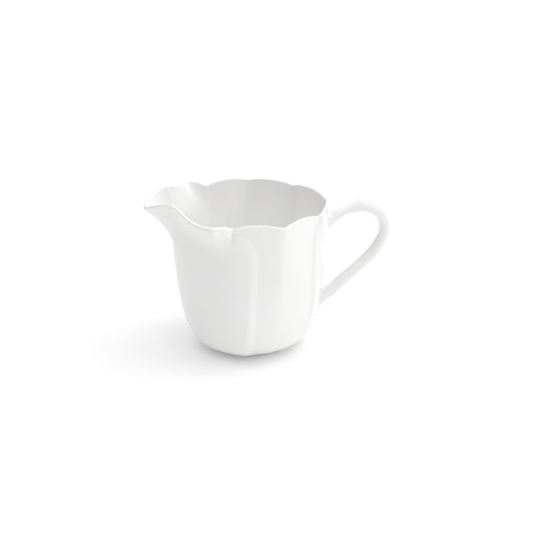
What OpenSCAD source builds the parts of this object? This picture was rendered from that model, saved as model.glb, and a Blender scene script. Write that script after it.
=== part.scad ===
// Porcelain cream jug shaped like a cup of four folded petals, with a luted strap handle.
// The origin is the centre of the foot ring on the table. +Z is up and +X points to the handle.
// The spout is on the -X side, and the jug is symmetric about the XZ plane.

/* [Body] */
// Height of the notches between the rim lobes
notch_height = 77.4; // [70:0.2:84]
// Outside radius of the body just under the rim
body_radius = 40.7; // [38:0.1:44]
// Thickness of the porcelain wall
wall = 2.6; // [2:0.1:3.2]
// Squareness of the belly above the foot (2 is an ellipse)
belly_power = 2.85; // [2.4:0.05:3]

/* [Foot] */
// Outside radius of the foot ring
foot_radius = 21; // [18:0.5:24]
// Width of the foot ring's resting face
foot_width = 2.6; // [2:0.1:3.5]
// Height of the foot ring
foot_height = 2.8; // [2:0.1:3.4]

/* [Petals] */
// Angle from the handle to the folded keel of each side petal
keel_angle = 78.5; // [76:0.5:81]
// Angle from the handle to the handle petal's edge at the foot
handle_foot_angle = 38.5; // [36:0.5:46]
// Angle from the handle to the handle petal's edge where the petal is widest
handle_lap_angle = 48; // [44:0.5:50]
// Angle from the handle to the handle petal's corner at the rim
handle_joint = 41; // [38:0.5:44]
// Angle from the handle to the spout petal's edge at the foot
spout_foot_angle = 97.5; // [95:0.5:100]
// Angle from the handle to the spout petal's edge where the petal is widest
spout_lap_angle = 95.3; // [93:0.1:98]
// Angle from the handle to the spout petal's corner at the rim
spout_joint = 113; // [108:0.5:115]
// Height at which the petals' corners start to turn
corner_start = 57; // [52:1:60]
// Height at which the petals' corners have turned
corner_top = 74; // [70:0.5:75]
// Height of the handle petal's edge above the petals that it overlaps
handle_lap_step = 0.7; // [0.4:0.1:1]
// Height of the spout petal's edge above the petals that it overlaps
spout_lap_step = 1.4; // [0.8:0.1:1.6]
// How far the side keels stand out at the rim
keel_rise = 2.8; // [1:0.1:3]
// Rise of the rim lobes above the notches
lobe_rise = 2; // [1:0.1:2.6]

/* [Spout] */
// Distance of the spout's tip from the body's axis
spout_reach = 56; // [52:0.5:60]
// How far the spout petal's shoulders curl outwards
shoulder_curl = 8.5; // [5:0.5:9]
// Height of the spout's side lips above its tip
lip_rise = 5.5; // [3:0.5:6]

/* [Handle] */
// Thickness of the handle strap
strap_thickness = 5.2; // [4:0.1:5.5]
// Width of the handle strap
strap_width = 7.8; // [7:0.1:9]
// Height of the thumb peak on the handle
thumb_peak = 1.8; // [0.5:0.1:2]

/* [Hidden] */
glaze = "whitesmoke";
biscuit = "linen";
$fn = 96;

// Petal grids: turns of the rows from the foot to the rim, finer where the corners turn
corner_turn = 72;
low_step = 3;
high_step = 1.5;
row_turns = concat([for (t = [0 : low_step : corner_turn - low_step]) t],
                   [for (t = [corner_turn : high_step : 90]) t]);
// Widest angle of a column, and the angle over which a turning corner squeezes the columns
column_step = 3;
corner_reach = 33;
// Half of the turn, and of the part of the handle's line, over which a direction is measured
turn_probe = 0.5;
line_probe = 0.002;
// Gap between neighbouring petals, as an angle, and between other touching pieces
seam_angle = 0.02;
seam = 0.02;
// Angle over which the spout petal's corner curls out
curl_angle = 12;
// Angles over which the curled shoulders narrow to the lips
waist_start = 128;
waist_angle = 30;
// The tongue of the spout: reach beyond the curled lip, and half its width as an angle
lip_waist = 5;
tongue_reach = spout_reach - body_radius - lip_waist;
tongue_angle = 13;
lip_start = 132;
// Leans the side lips' crest towards the tip
lip_lean = 1.4;
// Heights, as parts of the full height, where the spout and the curl leave the wall, and their bend
spout_root = 0.7;
curl_root = 0.78;
flare_power = 1.7;
// Rise of the spout petal's corners above the notches beside them, and the angle that it takes
corner_rise = 1.6;
corner_angle = 8;
// Lobes over the handle and in front of the keels, as parts of the highest lobes behind them
handle_lobe_part = 0.7;
near_lobe_part = 0.9;
// Flatness of the lobes' tops: 1 is a plain sine
lobe_power = 0.8;
// How much of a flat panel shows on the handle petal: 1 is flat and 0 is round
handle_panel_part = 0.3;
// How much of a flat panel shows on each side of the spout petal, and the angle where it ends
spout_panel_part = 0.6;
spout_panel_end = 150;
// Widths of the rounded shoulders along the overlapping edges, and how slowly the laps then fade
handle_lap_width = 2.6;
spout_lap_width = 5.5;
lap_fade = 14;
// Part of a lap's height that stands as a step at its very edge
lap_edge_part = 0.3;
// Part of the lap's height that is left at the foot, and the turn where it is complete
foot_lap_part = 0.3;
full_lap_turn = 30;
// Gap between the petals' lower edges and the floor, and the draft inside the foot ring
floor_gap = 0.1;
foot_draft = 0.6;
// Height at which the keels fade out
keel_root = 15;

// 0 below t = 0, 1 above t = 1 and a smooth step between
function smooth(t) = let (c = min(max(t, 0), 1)) c * c * (3 - 2 * c);

// Angle from the handle on either side, 0 to 180
function folded(angle) = angle > 180 ? 360 - angle : abs(angle);

// A bell of height 1 at x = 0
function bell(x) = exp(-x * x);

// Overlapping petal edges: the angles at the foot, at the widest place and at the rim, and the
// height and the width of the lap
handle_edge = [handle_foot_angle, handle_lap_angle, handle_joint, handle_lap_step, handle_lap_width];
spout_edge = [spout_foot_angle, spout_lap_angle, spout_joint, spout_lap_step, spout_lap_width];

// Angle of an edge at a height: a slow swing, then a quarter ellipse at the petal's corner
function edge_angle(edge, z) =
    let (t = min(max((z - corner_start) / (corner_top - corner_start), 0), 1))
    edge[0] + (edge[1] - edge[0]) * smooth(z / corner_start)
        + (edge[2] - edge[1]) * (1 - sqrt(1 - t * t));

// Distance of a flat panel between two folds, relative to the folds' own radius
function panel(angle, from, to) =
    cos((to - from) / 2) / cos(angle - (from + to) / 2);

// Points [angle, height] down an edge, from the foot to well above the rim
edge_steps = 8;
function edge_line(edge) = concat(
    [for (i = [0 : edge_steps - 1])
        let (z = corner_start * i / edge_steps) [edge_angle(edge, z), z]],
    [for (i = [0 : edge_steps])
        let (z = corner_start + (corner_top - corner_start) * sin(90 * i / edge_steps))
        [edge_angle(edge, z), z]],
    [[edge[2], 2 * notch_height]]);

// Distance over a wall of some radius from an angle and a height to an edge
function edge_distance(edge, angle, z, radius) =
    let (line = edge_line(edge), scale = PI / 180 * radius)
    min([for (k = [0 : len(line) - 2])
        let (from = [line[k][0] * scale, line[k][1]],
             way = [line[k + 1][0] * scale, line[k + 1][1]] - from,
             p = [angle * scale, z] - from,
             t = min(max(p * way / (way * way), 0), 1))
        norm(p - t * way)]);

// Rise of one rim lobe between two notches
function lobe(angle, from, to) =
    pow(max(sin(180 * (angle - from) / (to - from)), 0), lobe_power);

// Height of the rim at an angle from the handle
function rim_height(angle) =
    let (a = folded(angle))
    a < handle_joint ? notch_height + handle_lobe_part * lobe_rise * lobe(a, 0, handle_joint) :
    a < keel_angle ? notch_height + near_lobe_part * lobe_rise * lobe(a, handle_joint, keel_angle) :
    a < spout_joint ? notch_height + lobe_rise * lobe(a, keel_angle, spout_joint) :
    let (t = max((a - lip_start) / (180 - lip_start), 0))
    notch_height + corner_rise * smooth((a - spout_joint) / corner_angle)
        + lip_rise * pow(max(sin(180 * pow(t, lip_lean)), 0), lip_lean);

// How far the folded panels stand outside the plain round wall at the rim
function fold_out(angle) =
    let (a = folded(angle),
         near = (a - handle_joint) / (keel_angle - handle_joint),
         far = (spout_joint - a) / (spout_joint - keel_angle),
         keel = body_radius + keel_rise)
    a < handle_joint ? handle_panel_part * (keel * panel(a, 0, handle_joint) - body_radius) :
    a < keel_angle ? (body_radius + keel_rise * near) * panel(a, handle_joint, keel_angle)
        - body_radius :
    a < spout_joint ? (body_radius + keel_rise * far) * panel(a, keel_angle, spout_joint)
        - body_radius :
    a < spout_panel_end ?
        spout_panel_part * body_radius * (panel(a, spout_joint, spout_panel_end) - 1) :
    0;

// How far the spout petal curls outwards at the rim, and how far its tongue reaches past that
function curl_out(angle) =
    let (a = folded(angle))
    smooth((a - spout_joint) / curl_angle)
        * (shoulder_curl - (shoulder_curl - lip_waist) * smooth((a - waist_start) / waist_angle));

function tongue_out(angle) = tongue_reach * bell((180 - folded(angle)) / tongue_angle);

// Part of a flare reached at a part of the full height
function flare(part, root) = pow(max((part - root) / (1 - root), 0), flare_power);

// Outside radius and height of the wall at an angle; turn runs from 0 at the foot to 90 at the rim
function wall_point(angle, turn) =
    let (part = 1 - cos(turn),
         z = foot_height + (rim_height(angle) - foot_height) * part,
         round_r = foot_radius + (body_radius - foot_radius) * pow(sin(turn), 2 / belly_power),
         fold = max((z - keel_root) / (notch_height - keel_root), 0))
    [round_r + fold * fold_out(angle)
        + curl_out(angle) * flare(part, curl_root)
        + tongue_out(angle) * flare(part, spout_root), z];

// Unit vector out of the wall, as [radial, vertical]
function wall_normal(angle, turn) =
    let (a = wall_point(angle, max(turn - turn_probe, 0)),
         b = wall_point(angle, min(turn + turn_probe, 90)),
         d = b - a)
    [d[1], -d[0]] / norm(d);

// Space point for an angle and a [radius, height] pair
function place(angle, rz) = [rz[0] * cos(angle), rz[0] * sin(angle), rz[1]];

function outside(angle, turn, raise) =
    place(angle, wall_point(angle, turn) + raise * wall_normal(angle, turn));

function inside(angle, turn) =
    place(angle, wall_point(angle, turn) - wall * wall_normal(angle, turn));

// Nominal height of a row, used for the edges' shape
function row_height(turn) = foot_height + (notch_height - foot_height) * (1 - cos(turn));

// Triangles of a closed tube-like grid of rings, with fans over both end rings
function tube_faces(rings, sides) = concat(
    [for (i = [0 : rings - 2], j = [0 : sides - 1], half = [0, 1])
        let (a = i * sides + j, b = i * sides + (j + 1) % sides)
        half == 0 ? [a, a + sides, b] : [b, a + sides, b + sides]],
    [for (j = [1 : sides - 2]) [0, j, j + 1]],
    [for (j = [1 : sides - 2]) let (k = (rings - 1) * sides) [k, k + j + 1, k + j]]);

// Triangles of a sheet with two skins, each of the same rows and columns, closed round its border
function sheet_faces(rows, columns) =
    let (skin = rows * columns,
         quads = [for (i = [0 : rows - 2], j = [0 : columns - 2]) i * columns + j],
         border = concat(
             [for (j = [0 : columns - 2]) j],
             [for (i = [0 : rows - 2]) i * columns + columns - 1],
             [for (j = [columns - 1 : -1 : 1]) (rows - 1) * columns + j],
             [for (i = [rows - 1 : -1 : 1]) i * columns]),
         n = len(border))
    concat(
        [for (q = quads) each [[q, q + columns, q + 1], [q + 1, q + columns, q + columns + 1]]],
        [for (q = quads) let (p = q + skin)
            each [[p, p + 1, p + columns], [p + 1, p + columns + 1, p + columns]]],
        [for (k = [0 : n - 1]) let (a = border[k], b = border[(k + 1) % n])
            each [[a, b, a + skin], [b, b + skin, a + skin]]]);

// How far an overlapping petal stands above its neighbours, at an angle and a turn inside its edge
function lap_height(edge, angle, turn) =
    let (radius = wall_point(angle, turn)[0],
         distance = edge_distance(edge, folded(angle), row_height(turn), radius),
         shoulder = 1 - pow(max(1 - distance / edge[4], 0), 2),
         fade = exp(-max(distance - edge[4], 0) / lap_fade),
         low = foot_lap_part + (1 - foot_lap_part) * smooth(turn / full_lap_turn))
    edge[3] * (lap_edge_part + (1 - lap_edge_part) * shoulder) * fade * low;

// One petal between two edges, which lie on the given sides of the handle. A petal that laps over
// its neighbours stands above them along its edges
module petal(first, first_side, last, last_side, laps) {
    start = first_side * first[1] + seam_angle;
    end = last_side * last[1] + (last_side < first_side ? 360 : 0) - seam_angle;
    columns = ceil((end - start) / column_step) + 1;
    plain_angles = [for (j = [0 : columns - 1]) start + (end - start) * j / (columns - 1)];
    function shift(edge, turn) = edge_angle(edge, row_height(turn)) - edge[1];
    function angle_at(turn, a) = a
        + first_side * shift(first, turn) * max(1 - (a - start) / corner_reach, 0)
        + last_side * shift(last, turn) * max(1 - (end - a) / corner_reach, 0);
    spots = [for (t = row_turns, a = plain_angles) [angle_at(t, a), t]];
    outer_skin = [for (s = spots) outside(s[0], s[1], laps ? lap_height(first, s[0], s[1]) : 0)];
    inner_skin = [for (s = spots) inside(s[0], s[1])];
    polyhedron(concat(outer_skin, inner_skin), sheet_faces(len(row_turns), columns));
}

module spout_petal() {
    color(glaze)
        petal(spout_edge, 1, spout_edge, -1, true);
}

module right_petal() {
    color(glaze)
        petal(handle_edge, 1, spout_edge, 1, false);
}

module left_petal() {
    color(glaze)
        petal(spout_edge, -1, handle_edge, -1, false);
}

module handle_petal() {
    color(glaze)
        petal(handle_edge, -1, handle_edge, 1, true);
}

module cup_floor() {
    color(glaze)
        translate([0, 0, foot_height])
            cylinder(h = wall, r = foot_radius - floor_gap);
}

module foot_ring() {
    color(biscuit)
        rotate_extrude()
            polygon([[foot_radius - foot_width, 0], [foot_radius, 0],
                     [foot_radius, foot_height - seam],
                     [foot_radius - foot_width - foot_draft, foot_height - seam]]);
}

// The handle's centre line in the XZ plane: three joined curves of four control points each
handle_line = [[[40, 60], [46, 70.5], [53, 71], [59.5, 71.5]],
               [[59.5, 71.5], [64, 71.8], [79.5, 65.5], [70.5, 50]],
               [[70.5, 50], [64, 38.8], [49, 32.5], [41, 20.5]]];
strap_sides = 16;
strap_rings = 36;
// Squareness of the strap's section: 1 is an ellipse and 0 a rectangle
strap_round = 0.8;
// Place of the thumb peak on the centre line, and its reach each way, as parts of the line
peak_place = 1 / 3;
peak_reach = 0.13;
// Parts of the centre line taken by the upper and lower joints
upper_joint_part = 0.1;
lower_joint_part = 0.09;
// Height of the joints' centres on the body, and the half height and half width of each there
upper_joint_height = 64;
lower_joint_height = 19.5;
upper_foot = [6.2, 5.2];
lower_foot = [7.6, 5];
joint_rings = 6;
// How late a joint widens on its way to the body
joint_flare = 2.2;

function curve(c, t) =
    let (s = 1 - t)
    s * s * s * c[0] + 3 * s * s * t * c[1] + 3 * s * t * t * c[2] + t * t * t * c[3];

// Point and direction on the centre line, with part running from 0 at the rim end to 1
function line_point(part) =
    let (k = min(floor(part * 3), 2)) curve(handle_line[k], part * 3 - k);

function line_direction(part) =
    let (a = line_point(max(part - line_probe, 0)),
         b = line_point(min(part + line_probe, 1)))
    (b - a) / norm(b - a);

// A sine or cosine with its power changed, which flattens the strap's four sides a little
function rounded(x) = sign(x) * pow(abs(x), strap_round);

// One section ring of the strap, with the thumb peak on its outer side
function strap_ring(part) =
    let (c = line_point(part), d = line_direction(part),
         peak = thumb_peak * max(1 - abs(part - peak_place) / peak_reach, 0))
    [for (j = [0 : strap_sides - 1])
        let (angle = 360 * j / strap_sides,
             out = strap_thickness / 2 * rounded(cos(angle)) + peak * pow(max(cos(angle), 0), 2),
             side = strap_width / 2 * rounded(sin(angle)))
        [c[0] - d[1] * out, side, c[1] + d[0] * out]];

module handle() {
    parts = [for (i = [0 : strap_rings])
        upper_joint_part + (1 - upper_joint_part - lower_joint_part) * i / strap_rings];
    color(glaze)
        polyhedron([for (p = parts) each strap_ring(p)],
                   tube_faces(strap_rings + 1, strap_sides));
}

// Point just outside the handle petal at a height and a sideways place
function petal_face(side, z) =
    let (angle = asin(side / body_radius),
         rise = (z - foot_height) / (rim_height(angle) - foot_height),
         turn = acos(1 - min(max(rise, 0), 1)),
         r = wall_point(angle, turn)[0] + lap_height(handle_edge, angle, turn) + seam)
    [sqrt(r * r - side * side), side, z];

// A collar of slip that spreads from one end ring of the strap onto the petal
module joint(part, centre, half, up) {
    ring = strap_ring(part);
    foot = [for (j = [0 : strap_sides - 1])
        let (angle = 360 * j / strap_sides)
        petal_face(half[1] * sin(angle), centre + up * half[0] * cos(angle))];
    points = [for (i = [0 : joint_rings])
        let (t = i / joint_rings, spread = pow(t, joint_flare))
        each [for (j = [0 : strap_sides - 1])
            let (a = ring[j], b = foot[j])
            [a[0] + (b[0] - a[0]) * t, a[1] + (b[1] - a[1]) * spread, a[2] + (b[2] - a[2]) * t]]];
    polyhedron(points, tube_faces(joint_rings + 1, strap_sides));
}

module handle_upper_joint() {
    color(glaze)
        joint(upper_joint_part, upper_joint_height, upper_foot, 1);
}

module handle_lower_joint() {
    color(glaze)
        joint(1 - lower_joint_part, lower_joint_height, lower_foot, -1);
}

spout_petal();
left_petal();
right_petal();
handle_petal();
cup_floor();
foot_ring();
handle();
handle_upper_joint();
handle_lower_joint();
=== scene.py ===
import math

import bpy
import numpy as np
from mathutils import Matrix, Vector


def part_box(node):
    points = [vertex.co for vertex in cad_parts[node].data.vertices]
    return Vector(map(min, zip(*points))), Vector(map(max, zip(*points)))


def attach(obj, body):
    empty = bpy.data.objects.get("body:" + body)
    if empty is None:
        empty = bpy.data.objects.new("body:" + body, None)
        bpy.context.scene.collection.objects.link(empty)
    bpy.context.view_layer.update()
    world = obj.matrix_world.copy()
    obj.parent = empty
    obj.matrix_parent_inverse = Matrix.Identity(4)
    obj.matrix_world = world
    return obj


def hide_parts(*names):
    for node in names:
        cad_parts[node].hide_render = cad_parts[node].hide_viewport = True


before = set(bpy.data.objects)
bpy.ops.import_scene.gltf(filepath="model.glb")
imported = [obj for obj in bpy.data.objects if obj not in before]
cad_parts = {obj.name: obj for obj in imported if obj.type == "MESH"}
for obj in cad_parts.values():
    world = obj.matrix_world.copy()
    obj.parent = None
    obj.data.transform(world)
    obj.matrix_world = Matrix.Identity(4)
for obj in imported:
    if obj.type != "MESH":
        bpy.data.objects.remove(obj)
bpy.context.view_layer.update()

# ---------------------------------------------------------------------------------------------
# Sizes in millimetres. Most are the design's, and the frame gives the ones that it can. Here the
# rim is thinner, the spout petal's lap is higher and narrower, the foot's draft is smaller, and the
# folds, notches and laps are rounded.
# +Z is up, +X points to the handle, the origin is the centre of the foot ring on the table.
# ---------------------------------------------------------------------------------------------
MM = 0.001
FOOT_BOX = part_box("foot_ring")
FOOT_RADIUS = FOOT_BOX[1][0] / MM
FOOT_HEIGHT = 2.8
FOOT_WIDTH = 2.6
# The foot ring's rounded lower corners, and how much thicker it is on the inside at its top
FOOT_ROUNDING = 0.6
FOOT_DRAFT = 0.4
# The visual floor is clear of the petals at its underside and runs into them at its top
FLOOR_GAP = 0.1
FLOOR_OVERLAP = 0.3
NOTCH_HEIGHT = 77.4
BODY_RADIUS = 40.7
# The wall thins from a turn a little below the rim up to the rounded rim
WALL = 2.6
RIM_WALL = 1.5
THIN_START = 55.0
BELLY_POWER = 2.85
KEEL_ANGLE = 78.5
# Overlapping petal edges: angle from the handle at the foot, at the corner's start, at the rim
HANDLE_EDGE = (38.5, 48.0, 41.0)
SPOUT_EDGE = (97.5, 95.3, 113.0)
# Heights where a petal's corner starts to turn and where it has turned
CORNER_START = 57.0
CORNER_TOP = 74.0
KEEL_RISE = 2.8
KEEL_ROOT = 15.0
# Lobes between the rim's notches; the ones over the handle and near it are a little lower
LOBE_RISE = 2.0
LOBE_POWER = 0.8
HANDLE_LOBE_PART = 0.7
NEAR_LOBE_PART = 0.9
# Rise of the spout petal's corner above the notch beside it, and the angle that it takes
CORNER_RISE = 1.6
CORNER_ANGLE = 8.0
SPOUT_REACH = 56.0
# The curled shoulders, and the angles over which they narrow to the waist below the side lips
SHOULDER_CURL = 8.5
CURL_ANGLE = 12.0
WAIST_START = 128.0
WAIST_ANGLE = 30.0
LIP_WAIST = 5.0
# The side lips: rise, where they start, and how far their crest leans to the tip
LIP_RISE = 5.5
LIP_START = 132.0
LIP_LEAN = 1.4
TONGUE_ANGLE = 13.0
# Parts of the full height where the spout and the curl leave the wall, and how they bend
SPOUT_ROOT = 0.7
CURL_ROOT = 0.78
FLARE_POWER = 1.7
HANDLE_JOINT = HANDLE_EDGE[2]
SPOUT_JOINT = SPOUT_EDGE[2]
# Flat panels on the handle petal and on each side of the spout petal: 1 is flat and 0 is round
HANDLE_PANEL_PART = 0.3
SPOUT_PANEL_PART = 0.6
SPOUT_PANEL_END = 150.0
# Angles each side over which the panels' folds and the rim's notches are rounded
FOLD_REACH = 5.0
NOTCH_REACH = 1.6
TONGUE_REACH = SPOUT_REACH - BODY_RADIUS - LIP_WAIST
# Height of the overlapping edges under the glaze, and the width of their rounded shoulder
HANDLE_LAP = (0.7, 2.6)
SPOUT_LAP = (1.9, 5.0)
LAP_FADE = 14.0
# Part of the laps' height that is left at the foot, and the turn where they are complete
FOOT_LAP_PART = 0.3
FULL_LAP_TURN = 30.0
GLAZE_FILLET = 0.5
# Angle over which a petal's columns are squeezed or spread where its corner turns
CORNER_REACH = 33.0

# Turns of the petals' rows, finer at the corners. The top one leaves room for the rounded rim
ROW_TURNS = np.concatenate([np.linspace(0.0, 80.0, 110, endpoint=False),
                            np.linspace(80.0, 89.2, 60)])
COLUMN_STEP = 0.75
RIM_STEPS = 10
# Steps of turn and of angle each side over which the direction of the surface is measured
TURN_PROBE = 0.4
ANGLE_PROBE = 0.3


def smooth(t):
    c = np.clip(t, 0.0, 1.0)
    return c * c * (3.0 - 2.0 * c)


def bell(x):
    return np.exp(-x * x)


def sin_deg(x):
    return np.sin(np.radians(x))


def cos_deg(x):
    return np.cos(np.radians(x))


def softened(function, angle, reach, taps=7):
    """The function's average over a few angles each side, which rounds its folds."""
    offsets = np.linspace(-1.0, 1.0, taps)
    weights = bell(1.3 * offsets)
    total = sum(w * function(angle + reach * o) for w, o in zip(weights, offsets))
    return total / weights.sum()


def folded(angle):
    """The angle from the handle, 0 to 180 degrees, on either side."""
    return np.abs((angle + 180.0) % 360.0 - 180.0)


def edge_angle(edge, height):
    """Angle of an overlapping edge: a slow swing, then a quarter ellipse at the petal's corner."""
    foot, widest, rim = edge
    t = np.clip((height - CORNER_START) / (CORNER_TOP - CORNER_START), 0.0, 1.0)
    return (foot + (widest - foot) * smooth(height / CORNER_START)
            + (rim - widest) * (1.0 - np.sqrt(1.0 - t * t)))


def panel(angle, start, end):
    """How far a flat panel between two angles lies out, as a part of its radius at both ends."""
    return cos_deg((end - start) / 2.0) / cos_deg(angle - (start + end) / 2.0)


def lobe(angle, start, end):
    """A lobe of the rim between two notches: 0 at both and 1 halfway."""
    return np.maximum(sin_deg(180.0 * (angle - start) / (end - start)), 0.0) ** LOBE_POWER


def rim_height_sharp(angle):
    """Height of the rim before its notches are rounded: lobes, raised corner and side lip."""
    a = folded(angle)
    t = np.maximum((a - LIP_START) / (180.0 - LIP_START), 0.0)
    crest = np.maximum(sin_deg(180.0 * t ** LIP_LEAN), 0.0) ** LIP_LEAN
    return np.select(
        [a < HANDLE_JOINT, a < KEEL_ANGLE, a < SPOUT_JOINT],
        [NOTCH_HEIGHT + HANDLE_LOBE_PART * LOBE_RISE * lobe(a, 0.0, HANDLE_JOINT),
         NOTCH_HEIGHT + NEAR_LOBE_PART * LOBE_RISE * lobe(a, HANDLE_JOINT, KEEL_ANGLE),
         NOTCH_HEIGHT + LOBE_RISE * lobe(a, KEEL_ANGLE, SPOUT_JOINT)],
        NOTCH_HEIGHT + CORNER_RISE * smooth((a - SPOUT_JOINT) / CORNER_ANGLE) + LIP_RISE * crest)


def rim_height(angle):
    return softened(rim_height_sharp, angle, NOTCH_REACH)


def fold_out_sharp(angle):
    """How far the flat panels and the keels stand outside the round wall, before rounding."""
    a = folded(angle)
    keel = BODY_RADIUS + KEEL_RISE
    near = (a - HANDLE_JOINT) / (KEEL_ANGLE - HANDLE_JOINT)
    far = (a - KEEL_ANGLE) / (SPOUT_JOINT - KEEL_ANGLE)
    return np.select(
        [a < HANDLE_JOINT, a < KEEL_ANGLE, a < SPOUT_JOINT, a < SPOUT_PANEL_END],
        [HANDLE_PANEL_PART * (keel * panel(a, 0.0, HANDLE_JOINT) - BODY_RADIUS),
         (BODY_RADIUS + KEEL_RISE * near) * panel(a, HANDLE_JOINT, KEEL_ANGLE) - BODY_RADIUS,
         (keel - KEEL_RISE * far) * panel(a, KEEL_ANGLE, SPOUT_JOINT) - BODY_RADIUS,
         SPOUT_PANEL_PART * BODY_RADIUS * (panel(a, SPOUT_JOINT, SPOUT_PANEL_END) - 1.0)],
        0.0)


def fold_out(angle):
    return softened(fold_out_sharp, angle, FOLD_REACH)


def curl_out(angle):
    """Outward curl of the spout petal's shoulders, down to the waist below the side lips."""
    a = folded(angle)
    narrowing = (SHOULDER_CURL - LIP_WAIST) * smooth((a - WAIST_START) / WAIST_ANGLE)
    return smooth((a - SPOUT_JOINT) / CURL_ANGLE) * (SHOULDER_CURL - narrowing)


def tongue_out(angle):
    return TONGUE_REACH * bell((180.0 - folded(angle)) / TONGUE_ANGLE)


def flare(part, root):
    return np.maximum((part - root) / (1.0 - root), 0.0) ** FLARE_POWER


def surface(angle, turn):
    """Points on the plain outside: turn runs from 0 at the foot to 90 at the rim."""
    part = 1.0 - cos_deg(turn)
    z = FOOT_HEIGHT + (rim_height(angle) - FOOT_HEIGHT) * part
    belly = np.maximum(sin_deg(turn), 0.0) ** (2.0 / BELLY_POWER)
    fold = np.maximum((z - KEEL_ROOT) / (NOTCH_HEIGHT - KEEL_ROOT), 0.0)
    r = (FOOT_RADIUS + (BODY_RADIUS - FOOT_RADIUS) * belly + fold * fold_out(angle)
         + curl_out(angle) * flare(part, CURL_ROOT) + tongue_out(angle) * flare(part, SPOUT_ROOT))
    return np.stack([r * cos_deg(angle), r * sin_deg(angle), z], -1)


def unit(v):
    return v / np.maximum(np.linalg.norm(v, axis=-1, keepdims=True), 1e-12)


def normal(angle, turn):
    low = np.maximum(turn - TURN_PROBE, 0.02)
    high = np.minimum(turn + TURN_PROBE, 90.0)
    up = surface(angle, high) - surface(angle, low)
    along = surface(angle + ANGLE_PROBE, turn) - surface(angle - ANGLE_PROBE, turn)
    return unit(np.cross(along, up))


def edge_line(edge):
    """Points (angle, height) down the middle of an overlapping edge, up past the rim."""
    sweep = np.linspace(0.0, 90.0, 25)
    heights = np.concatenate([np.linspace(0.0, CORNER_START, 20, endpoint=False),
                              CORNER_START + (CORNER_TOP - CORNER_START) * sin_deg(sweep),
                              [NOTCH_HEIGHT + LIP_RISE + 10.0]])
    return np.stack([edge_angle(edge, heights), heights], -1)


def depth_inside(edge, side, angle, height, radius):
    """Distance from an edge into its petal, measured on the wall; negative outside the petal."""
    nearest = np.full(np.shape(angle), 1e9)
    line = edge_line(edge)
    for (angle_0, height_0), (angle_1, height_1) in zip(line[:-1], line[1:]):
        run, rise = np.radians(angle_1 - angle_0) * radius, height_1 - height_0
        x, y = np.radians(angle - angle_0) * radius, height - height_0
        t = np.clip((x * run + y * rise) / (run ** 2 + rise ** 2), 0.0, 1.0)
        nearest = np.minimum(nearest, np.hypot(x - t * run, y - t * rise))
    return nearest * np.sign((angle - edge_angle(edge, height)) * side)


def lap_height(angle, turn):
    """Height of the overlapping edges above the plain outside, rounded and filled by the glaze."""
    a = folded(angle)
    z = FOOT_HEIGHT + (NOTCH_HEIGHT - FOOT_HEIGHT) * (1.0 - cos_deg(turn))
    radius = np.linalg.norm(surface(angle, turn)[..., :2], axis=-1)
    total = 0.0
    for edge, (step, width), side in ((HANDLE_EDGE, HANDLE_LAP, -1.0), (SPOUT_EDGE, SPOUT_LAP, 1.0)):
        depth = depth_inside(edge, side, a, z, radius)
        # a soft-cornered version of "depth, but never below zero"
        depth = (depth + np.sqrt(depth ** 2 + GLAZE_FILLET ** 2)) / 2.0
        shoulder = 1.0 - np.maximum(1.0 - depth / width, 0.0) ** 2
        total = total + step * shoulder * np.exp(-np.maximum(depth - width, 0.0) / LAP_FADE)
    return total * (FOOT_LAP_PART + (1.0 - FOOT_LAP_PART) * smooth(turn / FULL_LAP_TURN))


def mesh_piece(name, points, faces):
    mesh = bpy.data.meshes.new(name)
    mesh.from_pydata((points * MM).tolist(), [], faces)
    mesh.validate()
    mesh.polygons.foreach_set("use_smooth", [True] * len(mesh.polygons))
    mesh.set_sharp_from_angle(angle=math.radians(50.0))
    piece = bpy.data.objects.new(name, mesh)
    bpy.context.scene.collection.objects.link(piece)
    return piece


def ring_faces(rings, sides):
    """Quads between closed rings."""
    faces = []
    for i in range(rings - 1):
        for j in range(sides):
            k = (j + 1) % sides
            faces.append((i * sides + j, i * sides + k, (i + 1) * sides + k, (i + 1) * sides + j))
    return faces


def ladder_faces(first, sides):
    """Faces over one closed ring, laid like rungs between its two long sides."""
    faces = []
    for low in range(sides // 2):
        high = sides - 1 - low
        rung = [low, low + 1, high - 1, high] if high - 1 > low + 1 else [low, low + 1, high]
        faces.append(tuple(first + k for k in rung))
    return faces


def tube_faces(rings, sides):
    """A closed tube: rings, with rungs over both of its ends."""
    start = [face[::-1] for face in ladder_faces(0, sides)]
    return ring_faces(rings, sides) + start + ladder_faces((rings - 1) * sides, sides)


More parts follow.
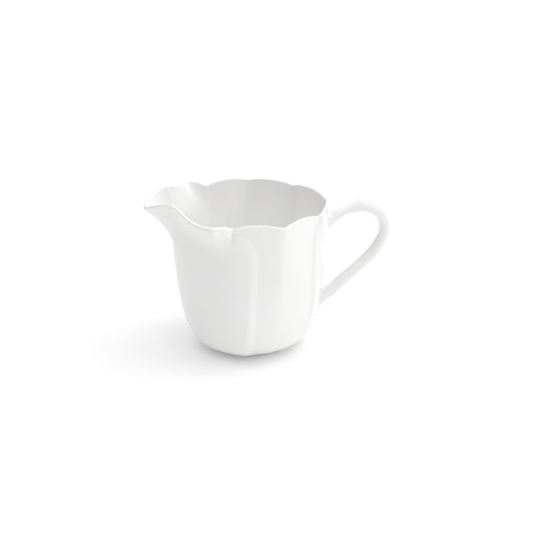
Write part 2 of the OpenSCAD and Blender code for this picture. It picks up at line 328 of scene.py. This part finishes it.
def petal(name, first, last, sides):
    """One petal between two edges. The sides tell which way round the handle each edge lies."""
    start, end = sides[0] * first[1], sides[1] * last[1]
    end = end + 360.0 if end < start else end
    heights = FOOT_HEIGHT + (NOTCH_HEIGHT - FOOT_HEIGHT) * (1.0 - cos_deg(ROW_TURNS))
    start_shift = sides[0] * (edge_angle(first, heights) - first[1])
    end_shift = sides[1] * (edge_angle(last, heights) - last[1])
    columns = int((end - start) / COLUMN_STEP) + 1
    plain = np.linspace(start, end, columns)
    angle = (plain[None, :]
             + start_shift[:, None] * np.maximum(1.0 - (plain - start) / CORNER_REACH, 0.0)
             + end_shift[:, None] * np.maximum(1.0 - (end - plain) / CORNER_REACH, 0.0))
    turn = np.repeat(ROW_TURNS[:, None], columns, axis=1)
    base = surface(angle, turn)
    out = normal(angle, turn)
    thick = WALL - (WALL - RIM_WALL) * smooth((turn - THIN_START) / (90.0 - THIN_START))
    outer = base + out * lap_height(angle, turn)[..., None]
    inner = base - out * thick[..., None]
    # the rounded rim runs from the outer skin's top row over to the inner skin's
    centre = (outer[-1] + inner[-1]) / 2.0
    across = unit(outer[-1] - inner[-1])
    half = np.linalg.norm(outer[-1] - inner[-1], axis=-1, keepdims=True) / 2.0
    up = unit(outer[-1] - outer[-2])
    up = unit(up - across * (up * across).sum(-1, keepdims=True))
    rim = np.array([centre + half * (across * math.cos(s) + up * math.sin(s))
                    for s in np.linspace(0.0, math.pi, RIM_STEPS + 1)[1:-1]])
    section = np.concatenate([outer, rim, inner[::-1]])
    points = section.transpose(1, 0, 2).reshape(-1, 3)
    return mesh_piece(name, points, tube_faces(columns, len(section)))


# ---------------------------------------------------------------------------------------------
# Handle: a strap swept along the same centre line as the design's, and its two slip joints
# ---------------------------------------------------------------------------------------------
HANDLE_LINE = [[(40, 60), (46, 70.5), (53, 71), (59.5, 71.5)],
               [(59.5, 71.5), (64, 71.8), (79.5, 65.5), (70.5, 50)],
               [(70.5, 50), (64, 38.8), (49, 32.5), (41, 20.5)]]
STRAP_THICKNESS = 5.2
STRAP_WIDTH = 7.8
THUMB_PEAK = 1.8
STRAP_SIDES = 40
# Power of the sine and cosine in the strap's section: 1 is an oval, and less is more square
STRAP_POWER = 0.8
# Place of the thumb peak on the centre line, and its reach each way, as parts of the line
PEAK_PLACE = 1.0 / 3.0
PEAK_REACH = 0.13
# Parts of the centre line taken by the two joints
UPPER_JOINT_PART = 0.1
LOWER_JOINT_PART = 0.09
# Each joint on the petal: height of its centre, and its half height and half width
UPPER_FOOT = (64.0, 6.2, 5.2)
LOWER_FOOT = (19.5, 7.6, 5.0)
# Shape of a joint's curve: how far it keeps the strap's direction, how small the ring is that it
# aims at, and how far it then turns out to the foot, all as parts of the whole
COLLAR_REACH = 0.55
COLLAR_WAIST = 0.55
COLLAR_SPREAD = 0.35
COLLAR_STEPS = 24


def line_point(part):
    """Point on the three joined curves of the handle's centre line, from 0 at the top to 1."""
    k = min(int(part * 3.0), 2)
    t = part * 3.0 - k
    s = 1.0 - t
    c = [np.array(p, float) for p in HANDLE_LINE[k]]
    return s * s * s * c[0] + 3 * s * s * t * c[1] + 3 * s * t * t * c[2] + t * t * t * c[3]


def line_direction(part):
    return unit(line_point(min(part + 0.002, 1.0)) - line_point(max(part - 0.002, 0.0)))


def squared(x):
    """A sine or cosine with its power changed, which flattens the strap's four sides a little."""
    return np.sign(x) * np.abs(x) ** STRAP_POWER


def strap_ring(part):
    """One ring of the strap's section, with the thumb peak where it falls."""
    centre, along = line_point(part), line_direction(part)
    angle = np.linspace(0.0, 2.0 * math.pi, STRAP_SIDES, endpoint=False)
    peak = THUMB_PEAK * max(1.0 - abs(part - PEAK_PLACE) / PEAK_REACH, 0.0)
    out = STRAP_THICKNESS / 2.0 * squared(np.cos(angle))
    out = out + peak * np.maximum(np.cos(angle), 0.0) ** 2
    side = STRAP_WIDTH / 2.0 * squared(np.sin(angle))
    return np.stack([centre[0] - along[1] * out, side, centre[1] + along[0] * out], -1)


def handle(name):
    parts = np.linspace(UPPER_JOINT_PART, 1.0 - LOWER_JOINT_PART, 150)
    points = np.concatenate([strap_ring(p) for p in parts])
    return mesh_piece(name, points, tube_faces(len(parts), STRAP_SIDES))


def petal_face(side, height):
    """Point on the handle petal's outside at a sideways place and a height."""
    angle = np.degrees(np.arcsin(np.clip(side / BODY_RADIUS, -1.0, 1.0)))
    for _ in range(6):
        part = (height - FOOT_HEIGHT) / (rim_height(angle) - FOOT_HEIGHT)
        turn = np.degrees(np.arccos(np.clip(1.0 - part, -1.0, 1.0)))
        radius = np.linalg.norm(surface(angle, turn)[..., :2], axis=-1)
        angle = np.degrees(np.arcsin(np.clip(side / radius, -1.0, 1.0)))
    return surface(angle, turn) + normal(angle, turn) * lap_height(angle, turn)[..., None]


def joint(name, part, towards, place, up):
    """A collar of slip that spreads from an end ring of the strap onto the petal."""
    centre, half_height, half_width = place
    ring = strap_ring(part)
    along = line_direction(part) * towards
    along = np.array([along[0], 0.0, along[1]])
    angle = np.linspace(0.0, 2.0 * math.pi, STRAP_SIDES, endpoint=False)
    foot = petal_face(half_width * np.sin(angle), centre + up * half_height * np.cos(angle))
    inner = petal_face(COLLAR_WAIST * half_width * np.sin(angle),
                       centre + up * COLLAR_WAIST * half_height * np.cos(angle))
    reach = np.linalg.norm(foot - ring, axis=-1, keepdims=True)
    rings = []
    for t in np.linspace(0.0, 1.0, COLLAR_STEPS):
        s = 1.0 - t
        a = ring + along * reach * COLLAR_REACH
        b = inner + (foot - inner) * COLLAR_SPREAD
        rings.append(s ** 3 * ring + 3 * s * s * t * a + 3 * s * t * t * b + t ** 3 * foot)
    points = np.concatenate(rings)
    return mesh_piece(name, points, tube_faces(len(rings), STRAP_SIDES))


def lathe(name, profile, steps=180):
    """A closed outline of (radius, height) pairs turned about the jug's axis."""
    profile = np.array(profile, float)
    turns = np.linspace(0.0, 2.0 * math.pi, steps, endpoint=False)
    n = len(profile)
    points = [(r * math.cos(a), r * math.sin(a), z) for a in turns for r, z in profile]
    faces = []
    for i in range(steps):
        k = (i + 1) % steps
        for j in range(n):
            m = (j + 1) % n
            faces.append((i * n + j, k * n + j, k * n + m, i * n + m))
    return mesh_piece(name, np.array(points), faces)


def corner(centre, radius, start, end, steps=6):
    """Points on an arc of an outline."""
    return [(centre[0] + radius * math.cos(math.radians(a)),
             centre[1] + radius * math.sin(math.radians(a)))
            for a in np.linspace(start, end, steps)]


def foot_ring(name):
    inner = FOOT_RADIUS - FOOT_WIDTH
    r = FOOT_ROUNDING
    profile = (corner((inner + r, r), r, 180, 270)
               + corner((FOOT_RADIUS - r, r), r, 270, 360)
               + [(FOOT_RADIUS, FOOT_HEIGHT), (inner - FOOT_DRAFT, FOOT_HEIGHT)])
    return lathe(name, profile)


def cup_floor(name):
    """A disc whose upper edge runs a little way into the petals, so that the glaze shows no joint."""
    low_edge, high_edge = FOOT_RADIUS - FLOOR_GAP, FOOT_RADIUS + FLOOR_OVERLAP
    points = [(0.0, 0.0, FOOT_HEIGHT), (0.0, 0.0, FOOT_HEIGHT + WALL)]
    steps = 120
    ring = np.linspace(0.0, 2.0 * math.pi, steps, endpoint=False)
    points += [(low_edge * math.cos(a), low_edge * math.sin(a), FOOT_HEIGHT) for a in ring]
    points += [(high_edge * math.cos(a), high_edge * math.sin(a), FOOT_HEIGHT + WALL) for a in ring]
    faces = []
    for i in range(steps):
        k = (i + 1) % steps
        faces += [(0, 2 + k, 2 + i), (1, 2 + steps + i, 2 + steps + k),
                  (2 + i, 2 + k, 2 + steps + k, 2 + steps + i)]
    return mesh_piece(name, np.array(points), faces)


# ---------------------------------------------------------------------------------------------
# Materials
# ---------------------------------------------------------------------------------------------
def new_material(name):
    material = bpy.data.materials.new(name)
    material.use_nodes = True
    nodes = material.node_tree.nodes
    return material, nodes, material.node_tree.links, nodes["Principled BSDF"]


def ramp(nodes, low, high, low_colour, high_colour):
    node = nodes.new("ShaderNodeValToRGB")
    node.color_ramp.elements[0].position = low
    node.color_ramp.elements[1].position = high
    node.color_ramp.elements[0].color = (*low_colour, 1.0)
    node.color_ramp.elements[1].color = (*high_colour, 1.0)
    return node


def noise_node(nodes, links, coordinates, scale, detail=2.0, roughness=0.5):
    node = nodes.new("ShaderNodeTexNoise")
    node.inputs["Scale"].default_value = scale
    node.inputs["Detail"].default_value = detail
    node.inputs["Roughness"].default_value = roughness
    links.new(coordinates.outputs["Object"], node.inputs["Vector"])
    return node


def glaze_material(name, shade):
    """Clear gloss glaze on white porcelain: slow waves, faint clouds and their change of gloss."""
    material, nodes, links, shader = new_material(name)
    where = nodes.new("ShaderNodeTexCoord")
    waves = noise_node(nodes, links, where, 70.0, 1.0)
    cloud = noise_node(nodes, links, where, 45.0, 4.0)
    tint = ramp(nodes, 0.3, 0.7, (shade, shade - 0.002, shade - 0.008),
                (shade + 0.025, shade + 0.023, shade + 0.018))
    links.new(cloud.outputs["Fac"], tint.inputs["Fac"])
    links.new(tint.outputs["Color"], shader.inputs["Base Color"])
    gloss = nodes.new("ShaderNodeMapRange")
    gloss.inputs["To Min"].default_value = 0.14
    gloss.inputs["To Max"].default_value = 0.24
    links.new(cloud.outputs["Fac"], gloss.inputs["Value"])
    links.new(gloss.outputs["Result"], shader.inputs["Roughness"])
    bump = nodes.new("ShaderNodeBump")
    bump.inputs["Strength"].default_value = 0.12
    bump.inputs["Distance"].default_value = 0.0006
    links.new(waves.outputs["Fac"], bump.inputs["Height"])
    links.new(bump.outputs["Normal"], shader.inputs["Normal"])
    shader.inputs["IOR"].default_value = 1.5
    shader.inputs["Subsurface Weight"].default_value = 0.15
    shader.inputs["Subsurface Radius"].default_value = (1.0, 0.9, 0.8)
    shader.inputs["Subsurface Scale"].default_value = 0.0015
    return material


def biscuit_material(name):
    """Unglazed fired porcelain: matt, with a fine grain."""
    material, nodes, links, shader = new_material(name)
    where = nodes.new("ShaderNodeTexCoord")
    grain = noise_node(nodes, links, where, 2500.0, 5.0, 0.6)
    stain = noise_node(nodes, links, where, 120.0, 3.0)
    tint = ramp(nodes, 0.3, 0.75, (0.74, 0.72, 0.68), (0.83, 0.81, 0.77))
    links.new(stain.outputs["Fac"], tint.inputs["Fac"])
    links.new(tint.outputs["Color"], shader.inputs["Base Color"])
    bump = nodes.new("ShaderNodeBump")
    bump.inputs["Strength"].default_value = 0.35
    bump.inputs["Distance"].default_value = 0.00015
    links.new(grain.outputs["Fac"], bump.inputs["Height"])
    links.new(bump.outputs["Normal"], shader.inputs["Normal"])
    shader.inputs["Roughness"].default_value = 0.75
    return material


# ---------------------------------------------------------------------------------------------
# The pieces
# ---------------------------------------------------------------------------------------------
GLAZE = glaze_material("glaze", 0.92)
# The handle's glaze is the body's glaze with a darker shade, which is painted shade: the real handle
# has the same glaze as the body
HANDLE_SHADED_GLAZE = glaze_material("handle_glaze", 0.87)
BISCUIT = biscuit_material("biscuit")


def settle(piece, node, material):
    piece.data.materials.append(material)
    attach(piece, "root")
    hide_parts(node)


settle(petal("spout_petal_shell", SPOUT_EDGE, SPOUT_EDGE, (1.0, -1.0)),
       "spout_petal", GLAZE)
settle(petal("right_petal_shell", HANDLE_EDGE, SPOUT_EDGE, (1.0, 1.0)),
       "right_petal", GLAZE)
settle(petal("left_petal_shell", SPOUT_EDGE, HANDLE_EDGE, (-1.0, -1.0)),
       "left_petal", GLAZE)
settle(petal("handle_petal_shell", HANDLE_EDGE, HANDLE_EDGE, (-1.0, 1.0)),
       "handle_petal", GLAZE)
settle(cup_floor("floor_disc"), "cup_floor", GLAZE)
settle(foot_ring("foot"), "foot_ring", BISCUIT)
settle(handle("strap"), "handle", HANDLE_SHADED_GLAZE)
settle(joint("upper_collar", UPPER_JOINT_PART, -1.0, UPPER_FOOT, 1.0),
       "handle_upper_joint", HANDLE_SHADED_GLAZE)
settle(joint("lower_collar", 1.0 - LOWER_JOINT_PART, 1.0, LOWER_FOOT, -1.0),
       "handle_lower_joint", HANDLE_SHADED_GLAZE)

# ---------------------------------------------------------------------------------------------
# Floor, light and camera
# ---------------------------------------------------------------------------------------------
CAMERA_AZIMUTH = -12.5
CAMERA_ELEVATION = 21.0
CAMERA_DISTANCE = 0.75
CAMERA_LENS = 96.2
# The camera is turned to this point, then moved right and up in its own view
AIM = (0.0, 0.0, 0.04)
CAMERA_RIGHT = 0.0089
CAMERA_UP = 0.0023
FLOOR_REACH = 6.0
LIGHT_DISTANCE = 1.6
LIGHT_SIZE = 1.2


def floor():
    """A plain pale floor that glows a little, which lifts the shadows."""
    mesh = bpy.data.meshes.new("studio_floor")
    reach = FLOOR_REACH
    corners = [(-reach, -reach, 0.0), (reach, -reach, 0.0), (reach, reach, 0.0), (-reach, reach, 0.0)]
    mesh.from_pydata(corners, [], [(0, 1, 2, 3)])
    plane = bpy.data.objects.new("studio_floor", mesh)
    bpy.context.scene.collection.objects.link(plane)
    material, nodes, links, shader = new_material("studio_paper")
    where = nodes.new("ShaderNodeTexCoord")
    grain = noise_node(nodes, links, where, 40.0, 3.0)
    tint = ramp(nodes, 0.3, 0.7, (0.95, 0.95, 0.95), (0.96, 0.96, 0.96))
    links.new(grain.outputs["Fac"], tint.inputs["Fac"])
    links.new(tint.outputs["Color"], shader.inputs["Base Color"])
    shader.inputs["Roughness"].default_value = 0.9
    shader.inputs["Specular IOR Level"].default_value = 0.1
    shader.inputs["Emission Color"].default_value = (1.0, 1.0, 1.0, 1.0)
    shader.inputs["Emission Strength"].default_value = 0.10
    plane.data.materials.append(material)


def look(target, azimuth, elevation, distance):
    """A transform that stands back from a target and looks at it, with azimuth 0 along +Y."""
    a, e = math.radians(azimuth), math.radians(elevation)
    forward = Vector((-math.sin(a) * math.cos(e), math.cos(a) * math.cos(e), -math.sin(e)))
    right = Vector((math.cos(a), math.sin(a), 0.0))
    up = right.cross(forward)
    place = Vector(target) - forward * distance
    matrix = Matrix((right, up, -forward)).transposed().to_4x4()
    matrix.translation = place
    return matrix, right, up


def camera():
    data = bpy.data.cameras.new("camera")
    data.lens = CAMERA_LENS
    data.sensor_width = 36.0
    data.clip_end = 50.0
    item = bpy.data.objects.new("camera", data)
    matrix, right, up = look(AIM, CAMERA_AZIMUTH, CAMERA_ELEVATION, CAMERA_DISTANCE)
    matrix.translation += right * CAMERA_RIGHT + up * CAMERA_UP
    item.matrix_world = matrix
    bpy.context.scene.collection.objects.link(item)
    bpy.context.scene.camera = item


def area_light(name, azimuth, elevation, power):
    """A square softbox at a place on a dome over the jug, turned to the camera's point of aim."""
    data = bpy.data.lights.new(name, "AREA")
    data.shape = "SQUARE"
    data.size = LIGHT_SIZE
    data.energy = power
    item = bpy.data.objects.new(name, data)
    item.matrix_world = look(AIM, azimuth, elevation, LIGHT_DISTANCE)[0]
    bpy.context.scene.collection.objects.link(item)


def light():
    world = bpy.data.worlds.new("studio")
    world.use_nodes = True
    background = world.node_tree.nodes["Background"]
    background.inputs["Color"].default_value = (1.0, 1.0, 1.0, 1.0)
    background.inputs["Strength"].default_value = 0.2
    bpy.context.scene.world = world
    area_light("front_softbox", 0.0, 42.0, 4.8)
    area_light("right_softbox", 75.0, 45.0, 5.7)
    area_light("right_back_softbox", 110.0, 50.0, 5.8)
    area_light("back_softbox", 170.0, 30.0, 6.2)
    area_light("left_back_softbox", -110.0, 50.0, 5.2)
    area_light("right_low_fill", 40.0, 15.0, 3.4)
    area_light("overhead", 0.0, 88.0, 7.0)
    bpy.context.scene.view_settings.view_transform = "Standard"


floor()
camera()
light()
